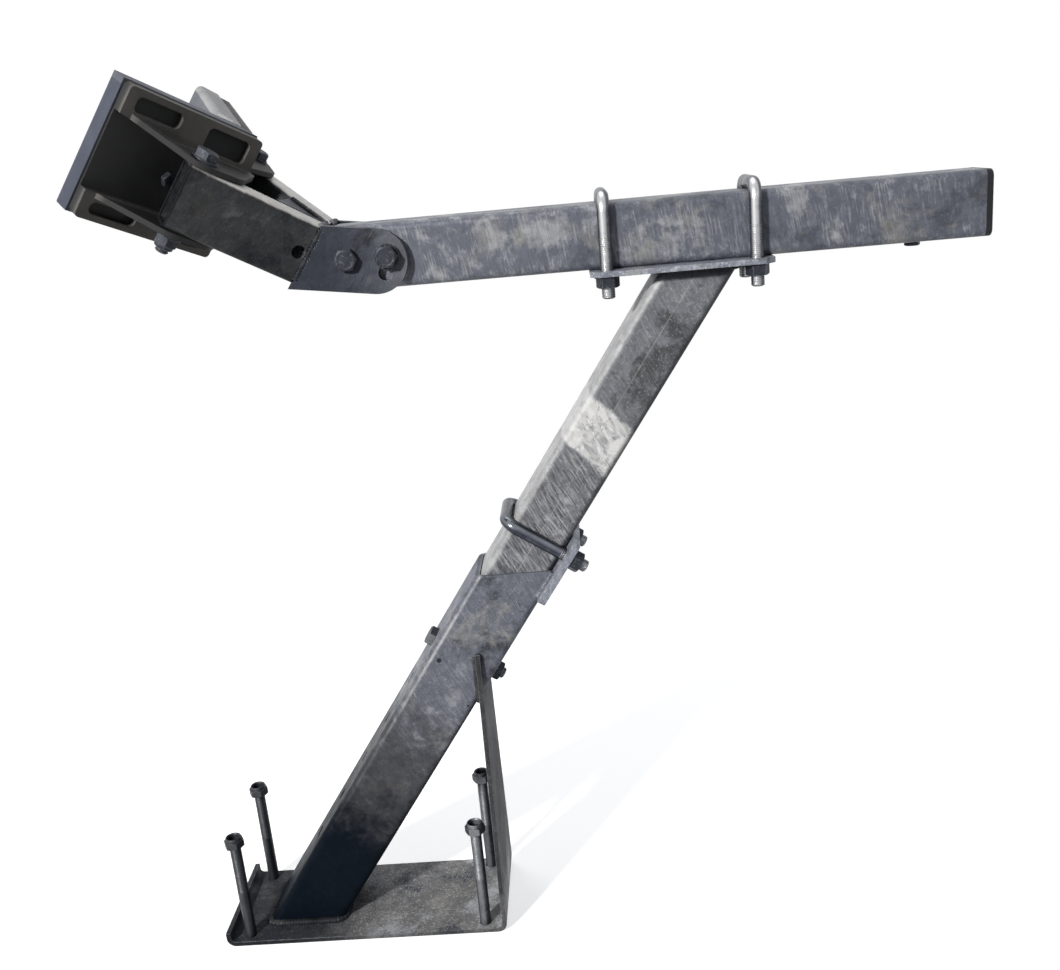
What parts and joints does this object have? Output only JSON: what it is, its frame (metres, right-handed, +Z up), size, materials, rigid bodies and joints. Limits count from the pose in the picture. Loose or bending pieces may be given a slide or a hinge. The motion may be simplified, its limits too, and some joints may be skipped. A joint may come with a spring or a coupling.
{
  "type": "boat trailer bow stop",
  "caption": "Slanted telescopic steel post on a bolted base bracket, carrying a sliding beam whose tilting fork holds swivelling pads that a boat's bow rests against.",
  "frame": {"origin": "underside of the base plate, in the middle of its four bolts", "axes": "+X along the beam towards its capped end, +Y to the far side, +Z up"},
  "size_m": [0.8251, 0.2505, 0.9119],
  "materials": {
    "galvanised": "hot-dip galvanised, mottled grey, lightly scratched",
    "bright_zinc": "zinc-plated fasteners, smoother and brighter than the tubes",
    "pad_plastic": "black moulded plastic",
    "pad_rubber": "black rubber, dull",
    "cap_plastic": "black plastic plug"
  },
  "bodies": {
    "base": {"base_bracket": "galvanised", "lower_post": "galvanised", "clamp_plate": "galvanised", "post_u_bolt": "bright_zinc", "near_post_nut": "bright_zinc", "far_post_nut": "bright_zinc", "stop_bolt": "bright_zinc", "stop_bolt_nut": "bright_zinc", "near_left_base_bolt": "bright_zinc", "near_right_base_bolt": "bright_zinc", "far_left_base_bolt": "bright_zinc", "far_right_base_bolt": "bright_zinc", "near_left_base_nut": "bright_zinc", "near_right_base_nut": "bright_zinc", "far_left_base_nut": "bright_zinc", "far_right_base_nut": "bright_zinc"},
    "mast": {"upper_post": "galvanised", "top_plate": "galvanised", "left_beam_u_bolt": "bright_zinc", "right_beam_u_bolt": "bright_zinc", "near_left_beam_nut": "bright_zinc", "far_left_beam_nut": "bright_zinc", "near_right_beam_nut": "bright_zinc", "far_right_beam_nut": "bright_zinc"},
    "beam": {"beam_tube": "galvanised", "end_cap": "cap_plastic", "beam_stop_screw": "bright_zinc", "slot_bolt": "bright_zinc", "near_slot_washer": "bright_zinc", "far_slot_washer": "bright_zinc", "slot_nut": "bright_zinc"},
    "fork": {"near_cheek": "galvanised", "far_cheek": "galvanised", "near_arm": "galvanised", "far_arm": "galvanised", "fork_gusset": "galvanised", "pivot_bolt": "bright_zinc", "pivot_nut": "bright_zinc"},
    "near_pad": {"near_pad_carrier": "pad_plastic", "near_pad_facing": "pad_rubber", "near_pad_bolt": "bright_zinc", "near_pad_nut": "bright_zinc", "near_pad_top_washer": "bright_zinc", "near_pad_bottom_washer": "bright_zinc", "near_pad_screw": "bright_zinc"},
    "far_pad": {"far_pad_carrier": "pad_plastic", "far_pad_facing": "pad_rubber", "far_pad_bolt": "bright_zinc", "far_pad_nut": "bright_zinc", "far_pad_top_washer": "bright_zinc", "far_pad_bottom_washer": "bright_zinc", "far_pad_screw": "bright_zinc"}
  },
  "joints": [
    {"name": "post_slide", "type": "slide", "parent": "base", "child": "mast", "axis": [0.565, 0, 0.8251], "range_m": [0, 0.055]},
    {"name": "beam_slide", "type": "slide", "parent": "mast", "child": "beam", "axis": [1, 0, 0], "range_m": [-0.12, 0.16]},
    {"name": "fork_tilt", "type": "hinge", "parent": "beam", "child": "fork", "pos_m": [0.072, 0, 0.7273], "axis": [0, 1, 0], "range_deg": [-23.5, 7.5]},
    {"name": "near_pad_swivel", "type": "hinge", "parent": "fork", "child": "near_pad", "pos_m": [-0.05149, -0.08451, 0.79641], "axis": [0.5793, 0, 0.8151], "range_deg": [-25, 30]},
    {"name": "far_pad_swivel", "type": "hinge", "parent": "fork", "child": "far_pad", "pos_m": [-0.05149, 0.08451, 0.79641], "axis": [0.5793, 0, 0.8151], "range_deg": [-30, 25]}
  ]
}
